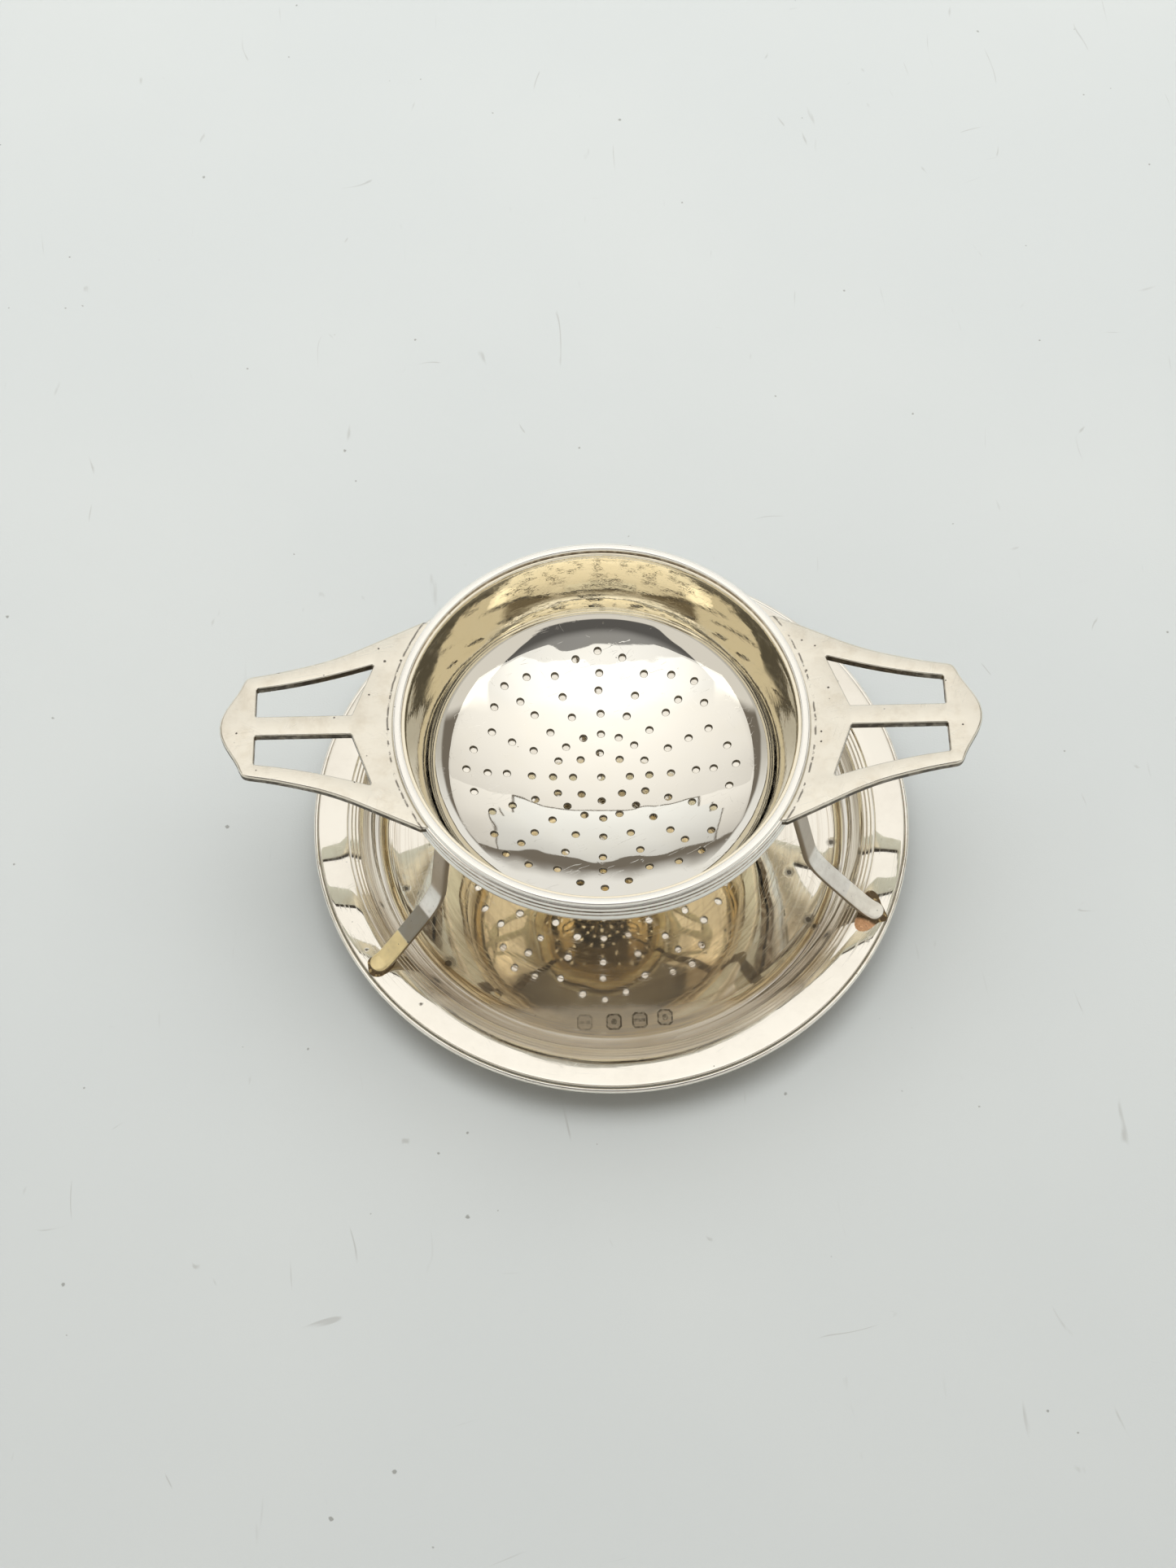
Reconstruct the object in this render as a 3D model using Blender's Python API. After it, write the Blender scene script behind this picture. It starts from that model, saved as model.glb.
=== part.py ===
# Two-handled tea strainer resting on a drip-bowl stand.
# Metres, +Z up, origin under the centre of the stand, handles along X.
import math

import bpy
import bmesh
from mathutils import Vector
from mathutils.geometry import delaunay_2d_cdt

MM = 0.001

# ---- overall layout (mm) -------------------------------------------------
RIM_TOP = 38.2            # top of the strainer rim above the table
STRAINER_X = -1.6         # the loose strainer sits a little to the left
SEAT_Z = 33.5             # underside of the rim moulding
GAP = 0.3                 # clearance between pieces that touch
AROUND = 60               # facets round the turned pieces

# ---- cup -----------------------------------------------------------------
SHEET = 0.75
DISH_Z = RIM_TOP - 19.2   # inside of the floor at its centre
DISH_CURVE = 0.0078       # floor height grows with this times radius squared
DISH_R = 23.5             # where the floor meets the bend
BEND_R = 4.6              # inside radius of the bend
WALL_ANGLE = math.radians(73.7)
WALL_TOP = RIM_TOP - 0.55
HOLE_R = 0.62
HOLE_SIDES = 10
RAY_RADII = (4.4, 7.6, 11.1, 14.9, 17.8, 21.3)
BISECTOR_RADII = (7.4, 11.4, 15.1, 18.7)
OUTER_PAIR_R = 20.3
OUTER_PAIR_ANGLE = 12.0

# ---- handles ---------------------------------------------------------------
HANDLE_TOP = RIM_TOP - 0.7
HANDLE_THICK = 1.5
HANDLE_ROOT_R = 32.6
HANDLE_CHAMFER = 0.25
# upper edge of the right handle, from the rim out to the shoulder and the tip
HANDLE_EDGE = [
    (30.8, 16.45), (33.3, 15.25), (35.8, 14.05), (38.6, 12.75), (42.2, 11.4),
    (45.8, 10.4), (49.6, 9.5), (52.4, 9.0), (54.0, 8.8), (54.55, 8.4),
    (54.95, 7.3), (55.6, 5.9), (56.4, 4.4), (57.2, 2.9), (57.8, 1.4),
]
HANDLE_TIP = (58.0, 0.0)
# one opening, corner by corner, with its slightly bowed long side
OPENING = [
    (52.6, 1.66), (52.6, 6.58), (48.6, 7.15), (44.0, 8.05), (39.2, 9.25),
    (34.66, 10.58), (37.96, 1.66),
]

# ---- stand -----------------------------------------------------------------
FLANGE_TOP = 7.0
FLANGE_R = 47.15
BOWL_SHEET = 0.85
ARM_ANGLES = {"left": 215.3, "right": 335.3, "back": 95.3}
ARM_TOP_R = {"left": 31.5, "right": 30.1, "back": 30.9}
ARM_WIDTH = 3.0
ARM_THICK = 1.0
ARM_TOP_Z = SEAT_Z - GAP
FOOT_TIP_R = 46.45


def new_material(name, colour, rough):
    """One Principled metal for one piece."""
    mat = bpy.data.materials.new(name)
    mat.use_nodes = True
    bsdf = mat.node_tree.nodes["Principled BSDF"]
    bsdf.inputs["Base Color"].default_value = (*colour, 1.0)
    bsdf.inputs["Metallic"].default_value = 1.0
    bsdf.inputs["Roughness"].default_value = rough
    mat.diffuse_color = (*colour, 1.0)
    return mat


def add_piece(name, verts, faces, colour, rough, origin=(0.0, 0.0, 0.0), angle=32.0):
    """Make one closed body from mm coordinates, with outward faces."""
    mesh = bpy.data.meshes.new(name)
    base = Vector(origin)
    coords = [tuple((Vector(v) - base) * MM) for v in verts]
    mesh.from_pydata(coords, [], faces)
    bm = bmesh.new()
    bm.from_mesh(mesh)
    bmesh.ops.recalc_face_normals(bm, faces=bm.faces)
    if bm.calc_volume(signed=True) < 0:
        bmesh.ops.reverse_faces(bm, faces=bm.faces)
    bmesh.ops.triangulate(bm, faces=[f for f in bm.faces if len(f.verts) > 4])
    bm.to_mesh(mesh)
    bm.free()
    mesh.shade_smooth()
    mesh.set_sharp_from_angle(angle=math.radians(angle))
    obj = bpy.data.objects.new(name, mesh)
    obj.location = base * MM
    mesh.materials.append(new_material(name + "_silver", colour, rough))
    bpy.context.scene.collection.objects.link(obj)
    return obj


def ring_points(radius, z, count, centre_x=0.0):
    step = 2.0 * math.pi / count
    return [(centre_x + radius * math.cos(i * step), radius * math.sin(i * step), z)
            for i in range(count)]


def bridge(a, b, count):
    """Quads between two rings that start at vertex a and vertex b."""
    return [(a + i, a + (i + 1) % count, b + (i + 1) % count, b + i) for i in range(count)]


def revolve_closed(profile, count, centre_x=0.0):
    """Turn a closed (radius, z) loop that stays clear of the axis."""
    verts, faces = [], []
    for radius, z in profile:
        verts += ring_points(radius, z, count, centre_x)
    loops = len(profile)
    for k in range(loops):
        faces += bridge(k * count, ((k + 1) % loops) * count, count)
    return verts, faces


def revolve_solid(profile, count):
    """Turn an open (radius, z) line whose two ends are flat discs on the axis."""
    verts, faces = [], []
    for radius, z in profile:
        verts += ring_points(radius, z, count)
    for k in range(len(profile) - 1):
        faces += bridge(k * count, (k + 1) * count, count)
    for start, z in ((0, profile[0][1]), ((len(profile) - 1) * count, profile[-1][1])):
        centre = len(verts)
        verts.append((0.0, 0.0, z))
        faces += [(start + i, start + (i + 1) % count, centre) for i in range(count)]
    return verts, faces


def fill_plan(loops, extra, inside):
    """Triangles between plan loops; extra points steer the triangulation."""
    points, edges = [], []
    for loop in loops:
        first = len(points)
        points += loop
        edges += [(first + i, first + (i + 1) % len(loop)) for i in range(len(loop))]
    points = points + extra
    result = delaunay_2d_cdt([Vector(p) for p in points], edges, [], 0, 1e-6)
    out_points, out_faces, sources = result[0], result[2], result[3]
    index = [s[0] for s in sources]
    triangles = []
    for face in out_faces:
        cx = sum(out_points[v][0] for v in face) / 3.0
        cy = sum(out_points[v][1] for v in face) / 3.0
        if inside(cx, cy):
            triangles.append(tuple(index[v] for v in face))
    return points, triangles


# ---- the pierced cup -------------------------------------------------------
def hole_centres():
    """Eight rays, eight rows between them and an outer pair beside each row."""
    centres = [(0.0, 0.0)]
    for k in range(8):
        ray = math.radians(45.0 * k)
        row = math.radians(45.0 * k + 22.5)
        spots = [(r, ray) for r in RAY_RADII] + [(r, row) for r in BISECTOR_RADII]
        for side in (-1, 1):
            spots.append((OUTER_PAIR_R, row + side * math.radians(OUTER_PAIR_ANGLE)))
        centres += [(r * math.cos(a), r * math.sin(a)) for r, a in spots]
    return centres


def dish_height(radius):
    return DISH_Z + DISH_CURVE * radius * radius


def build_cup():
    centres = hole_centres()
    rim = [p[:2] for p in ring_points(DISH_R, 0.0, AROUND)]
    loops = [rim]
    for cx, cy in centres:
        turn = math.atan2(cy, cx)
        loops.append([(cx + HOLE_R * math.cos(turn + 2 * math.pi * i / HOLE_SIDES),
                       cy + HOLE_R * math.sin(turn + 2 * math.pi * i / HOLE_SIDES))
                      for i in range(HOLE_SIDES)])
    extra = []
    for radius, count, shift in ((2.5, 8, 0.5), (5.9, 16, 0.5), (9.4, 16, 0.5),
                                 (13.0, 16, 0.5), (16.4, 32, 0.5), (19.4, 24, 0.0),
                                 (22.5, 60, 0.5)):
        for i in range(count):
            a = 2.0 * math.pi * (i + shift) / count
            p = (radius * math.cos(a), radius * math.sin(a))
            if min(math.hypot(p[0] - c[0], p[1] - c[1]) for c in centres) > HOLE_R + 0.45:
                extra.append(p)

    def inside(x, y):
        if math.hypot(x, y) > DISH_R:
            return False
        reach = HOLE_R * math.cos(math.pi / HOLE_SIDES) * 0.999
        return all(math.hypot(x - c[0], y - c[1]) > reach for c in centres)

    plan, triangles = fill_plan(loops, extra, inside)
    count = len(plan)
    verts, faces = [], []
    for x, y in plan:
        verts.append((STRAINER_X + x, y, dish_height(math.hypot(x, y))))
    for x, y in plan:
        radius = math.hypot(x, y)
        drop = SHEET * math.sqrt(1.0 + (2.0 * DISH_CURVE * radius) ** 2)
        verts.append((STRAINER_X + x, y, dish_height(radius) - drop))
    faces += triangles
    faces += [(c + count, b + count, a + count) for a, b, c in triangles]
    for k in range(len(centres)):
        first = AROUND + k * HOLE_SIDES
        for i in range(HOLE_SIDES):
            j = (i + 1) % HOLE_SIDES
            faces.append((first + i, first + j, count + first + j, count + first + i))
    # the bend and the wall, inside going up, then outside coming down
    slope = math.atan(2.0 * DISH_CURVE * DISH_R)
    cx = DISH_R - BEND_R * math.sin(slope)
    cz = dish_height(DISH_R) + BEND_R * math.cos(slope)
    inner, outer = [], []
    for i in range(6):
        a = slope + (WALL_ANGLE - slope) * i / 5.0
        for line, radius in ((inner, BEND_R), (outer, BEND_R + SHEET)):
            line.append((cx + radius * math.sin(a), cz - radius * math.cos(a)))
    run = math.cos(WALL_ANGLE) / math.sin(WALL_ANGLE)
    for line in (inner, outer):
        r0, z0 = line[-1]
        for i in (1, 2, 3):
            z = z0 + (WALL_TOP - z0) * i / 3.0
            line.append((r0 + run * (z - z0), z))
    profile = inner[1:] + list(reversed(outer))
    last = 0
    for radius, z in profile:
        start = len(verts)
        verts += ring_points(radius, z, AROUND, STRAINER_X)
        faces += bridge(last, start, AROUND)
        last = start
    faces += bridge(last, count, AROUND)
    return verts, faces


# ---- the rim moulding --------------------------------------------------------
def moulding_profile():
    """Round top band and three reeds; the inside follows the flared wall."""
    top = RIM_TOP
    points = [(30.75, top - 0.75), (30.45, top - 0.4), (30.8, top - 0.08), (31.25, top),
              (31.8, top - 0.12), (32.1, top - 0.45), (31.95, top - 0.75)]
    for upper, lower in ((0.75, 2.0), (2.0, 3.15), (3.15, 4.4)):
        middle = 0.5 * (upper + lower)
        points += [(32.25, top - middle + 0.3), (32.25, top - middle - 0.3),
                   (31.95, top - lower)]
    points += [(31.7, SEAT_Z), (29.85, SEAT_Z)]
    return points


# ---- handles -------------------------------------------------------------------
def inset_loop(loop, amount):
    """Move a counter-clockwise loop inward (clockwise: outward) by amount."""
    out = []
    n = len(loop)
    for i in range(n):
        p, q, r = Vector(loop[i - 1]), Vector(loop[i]), Vector(loop[(i + 1) % n])
        d1, d2 = (q - p).normalized(), (r - q).normalized()
        n1, n2 = Vector((-d1.y, d1.x)), Vector((-d2.y, d2.x))
        mitre = (n1 + n2).normalized()
        out.append(tuple(q + mitre * amount / max(0.35, mitre.dot(n1))))
    return out


def inside_loop(loop, x, y):
    hit = False
    n = len(loop)
    for i in range(n):
        x1, y1 = loop[i]
        x2, y2 = loop[(i + 1) % n]
        if (y1 > y) != (y2 > y) and x < x1 + (y - y1) * (x2 - x1) / (y2 - y1):
            hit = not hit
    return hit


def round_corners(loop, radius, steps=2):
    """Soften the sharp corners of a loop with short arcs."""
    out = []
    n = len(loop)
    for i in range(n):
        p, q, r = Vector(loop[i - 1]), Vector(loop[i]), Vector(loop[(i + 1) % n])
        d1, d2 = (p - q).normalized(), (r - q).normalized()
        turn = math.pi - d1.angle(d2)
        if turn < math.radians(20.0):
            out.append(tuple(q))
            continue
        back = radius * math.tan(turn / 2.0)
        a, b = q + d1 * back, q + d2 * back
        for k in range(steps + 1):
            t = k / steps
            out.append(tuple(a * (1 - t) ** 2 + q * 2 * t * (1 - t) + b * t * t))
    return out


def build_handle(side):
    """side is +1 for the right handle and -1 for the left one."""
    root = math.radians(33.8)
    outline = []
    for i in range(13):
        a = -root + 2.0 * root * i / 12.0
        outline.append((HANDLE_ROOT_R * math.cos(a), HANDLE_ROOT_R * math.sin(a)))
    # counter-clockwise: root arc reversed, lower edge out, tip, upper edge back
    outline = list(reversed(outline))
    lower = [(x, -y) for x, y in HANDLE_EDGE]
    outline = outline + lower + [HANDLE_TIP] + list(reversed(HANDLE_EDGE))
    opening = round_corners(OPENING, 0.35)
    mirrored = [(x, -y) for x, y in reversed(opening)]
    holes = [opening, mirrored]
    if side < 0:
        outline = [(-x, -y) for x, y in outline]
        holes = [[(-x, -y) for x, y in h] for h in holes]
    # openings listed clockwise so the same inset call widens the metal chamfer
    holes = [list(reversed(h)) if signed_area(h) > 0 else h for h in holes]
    if signed_area(outline) < 0:
        outline = list(reversed(outline))
    loops = [outline] + holes
    inner = [inset_loop(loop, HANDLE_CHAMFER) for loop in loops]

    def inside(x, y):
        return inside_loop(inner[0], x, y) and not any(inside_loop(h, x, y) for h in inner[1:])

    plan, triangles = fill_plan(inner, [], inside)
    top, bottom = HANDLE_TOP, HANDLE_TOP - HANDLE_THICK
    full = [p for loop in loops for p in loop]
    n = len(plan)
    verts = [(STRAINER_X + x, y, top) for x, y in plan]
    verts += [(STRAINER_X + x, y, top - HANDLE_CHAMFER) for x, y in full]
    verts += [(STRAINER_X + x, y, bottom + HANDLE_CHAMFER) for x, y in full]
    verts += [(STRAINER_X + x, y, bottom) for x, y in plan]
    faces = list(triangles) + [tuple(v + 3 * n for v in reversed(t)) for t in triangles]
    first = 0
    for loop in loops:
        count = len(loop)
        for level in range(3):
            faces += bridge(first + level * n, first + (level + 1) * n, count)
        first += count
    return verts, faces


def signed_area(loop):
    total = 0.0
    for i, (x1, y1) in enumerate(loop):
        x2, y2 = loop[(i + 1) % len(loop)]
        total += x1 * y2 - x2 * y1
    return 0.5 * total


# ---- the stand -------------------------------------------------------------------
def bowl_profile():
    """Flat floor, curved wall, fine steps and flange, then the underside back."""
    top = [(34.6, BOWL_SHEET), (36.3, 1.1), (37.9, 1.85), (39.3, 3.05), (40.3, 4.4), (40.95, 5.6)]
    z = 6.1
    radius = 41.25
    for _ in range(3):
        top += [(radius, z), (radius + 0.45, z)]
        radius += 0.65
        z += 0.3
    top += [(43.25, FLANGE_TOP), (46.95, FLANGE_TOP), (FLANGE_R, FLANGE_TOP - 0.2)]
    under = [(FLANGE_R, FLANGE_TOP - 0.9), (46.9, FLANGE_TOP - 1.05),
             (43.5, FLANGE_TOP - 1.05), (42.0, 5.35), (41.2, 4.0), (40.1, 2.45),
             (38.6, 1.1), (36.6, 0.25), (34.8, 0.0)]
    return top + under


def wire_profile():
    points = []
    for i in range(10):
        a = 2.0 * math.pi * i / 10
        points.append((47.9 + 0.45 * math.cos(a), FLANGE_TOP - 0.75 + 0.55 * math.sin(a)))
    return points


def arm_line(which):
    """Middle line of one strap in its own (radius, z) plane, foot first."""
    foot_z = FLANGE_TOP + GAP + 0.5 * ARM_THICK
    top_r = ARM_TOP_R[which]
    line = [(FOOT_TIP_R, foot_z), (46.2, foot_z), (45.75, foot_z), (45.0, foot_z + 0.05),
            (44.2, foot_z + 0.4), (43.2, foot_z + 1.15), (39.0, 12.75), (35.6, 15.75),
            (34.3, 17.1), (33.55, 18.5), (33.15, 20.1)]
    for t in (0.5, 1.0):
        line.append((33.15 + (top_r - 33.15) * t, 20.1 + (ARM_TOP_Z - 20.1) * t))
    return line


def half_width(distance):
    """The foot of the strap is round; further along it has its full width."""
    full = 0.5 * ARM_WIDTH
    if distance >= full:
        return full
    return math.sqrt(max(0.25, full * full - (full - distance) ** 2))


def build_arm(which):
    angle = math.radians(ARM_ANGLES[which])
    out = Vector((math.cos(angle), math.sin(angle), 0.0))
    side = Vector((-math.sin(angle), math.cos(angle), 0.0))
    line = [Vector((r * out.x, r * out.y, z)) for r, z in arm_line(which)]
    verts, faces = [], []
    distance = 0.0
    for i, p in enumerate(line):
        if i:
            distance += (p - line[i - 1]).length
        ahead = line[min(i + 1, len(line) - 1)]
        behind = line[max(i - 1, 0)]
        along = (ahead - behind).normalized()
        if i == len(line) - 1:
            along = Vector((0.0, 0.0, 1.0))
        up = side.cross(along).normalized()
        if up.dot(Vector((out.x, out.y, 1.0))) < 0:
            up = -up
        w, t = half_width(distance), 0.5 * ARM_THICK
        c = 0.3
        section = [(w, -t + c), (w, t - 1.4 * c), (w - 1.4 * c, t), (-w + 1.4 * c, t),
                   (-w, t - 1.4 * c), (-w, -t + c), (-w + c, -t), (w - c, -t)]
        for a, b in section:
            verts.append(tuple(p + side * a + up * b))
    n = 8
    for i in range(len(line) - 1):
        faces += bridge(i * n, (i + 1) * n, n)
    faces.append(tuple(range(n)))
    faces.append(tuple(reversed(range((len(line) - 1) * n, len(line) * n))))
    return verts, faces


def build_solder(which):
    """Low bead of solder that runs round the round end of one foot."""
    angle = math.radians(ARM_ANGLES[which])
    out = Vector((math.cos(angle), math.sin(angle), 0.0))
    side = Vector((-math.sin(angle), math.cos(angle), 0.0))
    bead = 0.25
    reach = 0.5 * ARM_WIDTH + 0.25 + bead
    centre_r = FOOT_TIP_R - 0.5 * ARM_WIDTH
    path = [(centre_r - 1.3, -reach)]
    for i in range(9):
        a = math.radians(-90.0 + 180.0 * i / 8)
        path.append((centre_r + reach * math.cos(a), reach * math.sin(a)))
    path.append((centre_r - 1.3, reach))
    z = FLANGE_TOP + 0.25 + bead
    points = [out * r + side * s + Vector((0, 0, z)) for r, s in path]
    verts, faces = [], []
    n = 6
    for i, p in enumerate(points):
        along = (points[min(i + 1, len(points) - 1)] - points[max(i - 1, 0)]).normalized()
        across = along.cross(Vector((0, 0, 1))).normalized()
        size = bead * (0.6 if i in (0, len(points) - 1) else 1.0)
        for k in range(n):
            a = 2.0 * math.pi * (k + 0.5) / n
            verts.append(tuple(p + across * size * math.cos(a)
                               + Vector((0, 0, size * math.sin(a)))))
    for i in range(len(points) - 1):
        faces += bridge(i * n, (i + 1) * n, n)
    faces.append(tuple(range(n)))
    faces.append(tuple(reversed(range((len(points) - 1) * n, len(points) * n))))
    return verts, faces


def build_all():
    strainer_origin = (STRAINER_X, 0.0, SEAT_Z)
    silver = (0.86, 0.84, 0.80)
    warm = (0.84, 0.80, 0.72)
    dark = (0.55, 0.49, 0.40)
    solder = (0.62, 0.42, 0.26)
    add_piece("strainer_cup", *build_cup(), silver, 0.16, strainer_origin)
    add_piece("strainer_rim_moulding",
              *revolve_closed(moulding_profile(), AROUND, STRAINER_X),
              silver, 0.14, strainer_origin, 50.0)
    add_piece("strainer_handle_left", *build_handle(-1), warm, 0.24, strainer_origin)
    add_piece("strainer_handle_right", *build_handle(1), warm, 0.24, strainer_origin)
    add_piece("drip_bowl", *revolve_solid(bowl_profile(), AROUND), dark, 0.2)
    add_piece("drip_bowl_edge_wire", *revolve_closed(wire_profile(), AROUND), silver, 0.16,
              (0.0, 0.0, 0.0), 50.0)
    for which in ARM_ANGLES:
        add_piece("support_arm_" + which, *build_arm(which), warm, 0.22)
    for which in ARM_ANGLES:
        add_piece("arm_solder_" + which, *build_solder(which), solder, 0.35)


for old in list(bpy.data.objects):
    bpy.data.objects.remove(old, do_unlink=True)
build_all()
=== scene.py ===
"""A two-handled silver tea strainer on its drip-bowl stand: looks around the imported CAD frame."""

import math
import random

import bmesh
import bpy
from mathutils import Matrix, Vector
from mathutils.geometry import delaunay_2d_cdt


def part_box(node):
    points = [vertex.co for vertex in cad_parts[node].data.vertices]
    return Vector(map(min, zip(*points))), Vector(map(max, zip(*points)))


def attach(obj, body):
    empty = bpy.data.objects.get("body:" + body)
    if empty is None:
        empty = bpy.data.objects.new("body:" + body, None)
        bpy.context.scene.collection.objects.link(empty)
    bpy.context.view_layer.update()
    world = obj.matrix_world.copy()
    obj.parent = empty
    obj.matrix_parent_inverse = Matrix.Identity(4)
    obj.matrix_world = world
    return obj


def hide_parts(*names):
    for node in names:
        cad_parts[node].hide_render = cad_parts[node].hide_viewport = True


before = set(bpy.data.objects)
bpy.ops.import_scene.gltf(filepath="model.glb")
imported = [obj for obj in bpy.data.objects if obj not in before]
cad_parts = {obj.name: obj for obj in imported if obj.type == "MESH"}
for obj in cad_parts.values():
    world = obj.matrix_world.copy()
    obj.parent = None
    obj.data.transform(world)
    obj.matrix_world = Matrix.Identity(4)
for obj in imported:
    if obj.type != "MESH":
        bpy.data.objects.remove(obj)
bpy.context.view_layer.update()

MM = 0.001

# ---- places read from the frame, in mm ---------------------------------------
moulding_low, moulding_high = (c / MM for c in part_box("strainer_rim_moulding"))
bowl_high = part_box("drip_bowl")[1] / MM
wire_low, wire_high = (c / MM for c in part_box("drip_bowl_edge_wire"))
handle_low, handle_high = (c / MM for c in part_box("strainer_handle_right"))

RIM_TOP = moulding_high.z
RIM_R = 0.5 * (moulding_high.x - moulding_low.x)
STRAINER_X = 0.5 * (moulding_high.x + moulding_low.x)
SEAT_Z = moulding_low.z
FLANGE_TOP = bowl_high.z
STAND_R = 0.5 * (wire_high.x - wire_low.x)
HANDLE_TOP = handle_high.z
HANDLE_BOTTOM = handle_low.z
HANDLE_REACH = handle_high.x - STRAINER_X

# ---- the cup, mm ---------------------------------------------------------------
DISH_Z = RIM_TOP - 19.2
DISH_CURVE = 0.0078
DISH_R = 23.5
BAND_R = 9.0             # the last band of the floor turns up faster ...
CREASE = 38.0            # ... to this slope, where the tight bend into the wall starts
BEND_R = 3.2
WALL_ANGLE = 78.0
DISH_SHEET = 0.7
WALL_SHEET = 0.5
WALL_TOP_R = 29.85
WALL_FLARE = 0.30
WALL_TOP_Z = RIM_TOP - 0.75
HOLE_R = 0.6
HOLE_EDGE = HOLE_R + 0.06
# the rolled upper edge of a hole, its bore and the softened lower edge: (shrink, depth)
HOLE_STEPS = ((0.03, 0.03), (0.08, 0.09), (0.12, 0.18), (0.12, 0.6), (0.08, 0.66))
HOLE_SIDES = 24
RAY_RADII = (4.4, 7.6, 11.1, 14.9, 17.8, 21.3)
BISECTOR_RADII = (7.4, 11.4, 15.1, 18.7)
OUTER_PAIR_R = 20.3
OUTER_PAIR_ANGLE = 12.0
HAND_DRILLED = 0.14       # how far a hole strays from the marked-out pattern
AROUND = 288
FIRST_RING, RING_GAP, ALONG_RING = 0.9, 0.85, 0.95   # spacing of the floor's inner points
WALL_ROWS = 12

# ---- rim moulding, mm: reeds as (upper edge, lower edge, extra reach) below the rim ---
REEDS = ((0.8, 1.75, 0.0), (1.75, 2.7, 0.1), (2.7, 4.4, 0.2))
GROOVES = (0.78, 1.75, 2.7, 4.45)
REED_R = 0.36

# ---- handles, mm -----------------------------------------------------------------
HANDLE_ROOT_R = 31.55
HANDLE_EDGE = [
    (26.6, 18.45), (30.8, 16.45), (33.3, 15.25), (35.8, 14.05), (38.6, 12.75),
    (42.2, 11.4), (45.8, 10.4), (49.6, 9.5), (52.2, 9.02), (53.5, 8.78),
    (54.25, 8.4), (54.72, 7.6), (55.05, 6.8), (55.6, 5.75), (56.4, 4.4), (57.25, 2.9),
    (57.82, 1.4), (HANDLE_REACH, 0.0),
]
OPENING_BOW = [(52.6, 6.58), (48.6, 7.15), (44.0, 8.05), (39.2, 9.25), (34.66, 10.58)]
OPENING_BAR = 1.66
OPENING_INNER_X = 37.96
EDGE_ROUND, OPENING_ROUND = 0.42, 0.2
ROUND_ROWS = 5

# ---- stand, mm ---------------------------------------------------------------------
ARM_ANGLES = {"left": 215.3, "right": 335.3, "back": 95.3}
ARM_TOP_R = {"left": 31.5, "right": 30.1, "back": 30.9}
ARM_WIDTH = 3.05
ARM_THICK = 1.05
FOOT_TIP_R = 46.9
FOOT_GAP, TIP_SINK = 0.05, 0.12   # foot above the flange, tip into the moulding's underside
ARM_SIDES = 16
SOLDER_RINGS, SOLDER_SIDES = 7, 40
BOWL_FLOOR = 0.85         # height of the floor's upper face
TURNED_STEPS, STEP_WIDTH, STEP_RISE = 3, 0.56, 0.3
EDGE_WIRE_R, EDGE_WIRE_DROP, EDGE_WIRE_SIDES = 0.44, 0.92, 22
# where solder has flowed out beside a foot: (degrees round the foot, extra reach)
SOLDER_LUMPS = {"left": [(200, 0.4)], "right": [(-104, 1.9), (108, 1.5)],
                "back": [(150, 0.6)]}

# dark corrosion spots in the bowl (x, y, radius) and worn plain punches (x, y, depth)
BOWL_PITS = [(-26.7, -23.5, 0.75), (36.0, -3.2, 0.5), (36.2, -8.4, 0.62), (28.8, -8.5, 0.52),
             (31.4, -17.1, 0.62), (32.3, -18.4, 0.45), (-39.2, -23.6, 0.2),
             (-30.5, -33.1, 0.2), (-33.5, -10.0, 0.4)]
PUNCHES = [(-5.0, -34.2, 0.55), (-0.4, -34.2, 1.0), (3.7, -34.0, 1.0), (7.7, -33.6, 0.95)]
PUNCH_SIZE = (1.25, 1.4)
# where one finish gives way to the next, as (start, end) of each change
FLANGE_R, EDGE_R = (42.6, 43.6), (47.3, 47.6)
WALL_IN_R, WALL_OUT_R = (34.0, 35.6), (41.0, 42.4)
CLEAN_Y, FRONT_Y = (-22.0, -9.0), (-32.6, -30.4)
ARM_YELLOW_R, ARM_GREY_R = (40.6, 40.9), (36.3, 36.6)

SATIN = 0.5               # how far the matt straps still mirror like metal
PANEL_HEIGHT = 0.8        # metres above the table
FLOOR_R = 3.0             # metres
FLOOR_LIFT_FROM, FLOOR_LIFT_TO = 320.0, 1400.0   # mm, the far floor is kept as pale as the near


# ---- mesh helpers ----------------------------------------------------------------
def make_mesh(name, verts, faces, body, slot, replaced, sharp, centre_x=0.0):
    """A closed mesh from mm coordinates that rides on a body in place of a CAD node."""
    mesh = bpy.data.meshes.new(name)
    mesh.from_pydata([((x + centre_x) * MM, y * MM, z * MM) for x, y, z in verts], [], faces)
    bm = bmesh.new()
    bm.from_mesh(mesh)
    bmesh.ops.recalc_face_normals(bm, faces=bm.faces)
    if bm.calc_volume(signed=True) < 0:
        bmesh.ops.reverse_faces(bm, faces=bm.faces)
    bm.to_mesh(mesh)
    bm.free()
    mesh.shade_smooth()
    mesh.set_sharp_from_angle(angle=math.radians(sharp))
    obj = bpy.data.objects.new(name, mesh)
    bpy.context.scene.collection.objects.link(obj)
    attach(obj, body)
    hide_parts(replaced)
    return obj


def ring(radius, z, count):
    """Points of one circle about the upright axis."""
    return [(radius * math.cos(2 * math.pi * i / count),
             radius * math.sin(2 * math.pi * i / count), z) for i in range(count)]


def bridge(a, b, count):
    """Quads between two closed rows of vertices that start at a and b."""
    return [(a + i, a + (i + 1) % count, b + (i + 1) % count, b + i) for i in range(count)]


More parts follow.
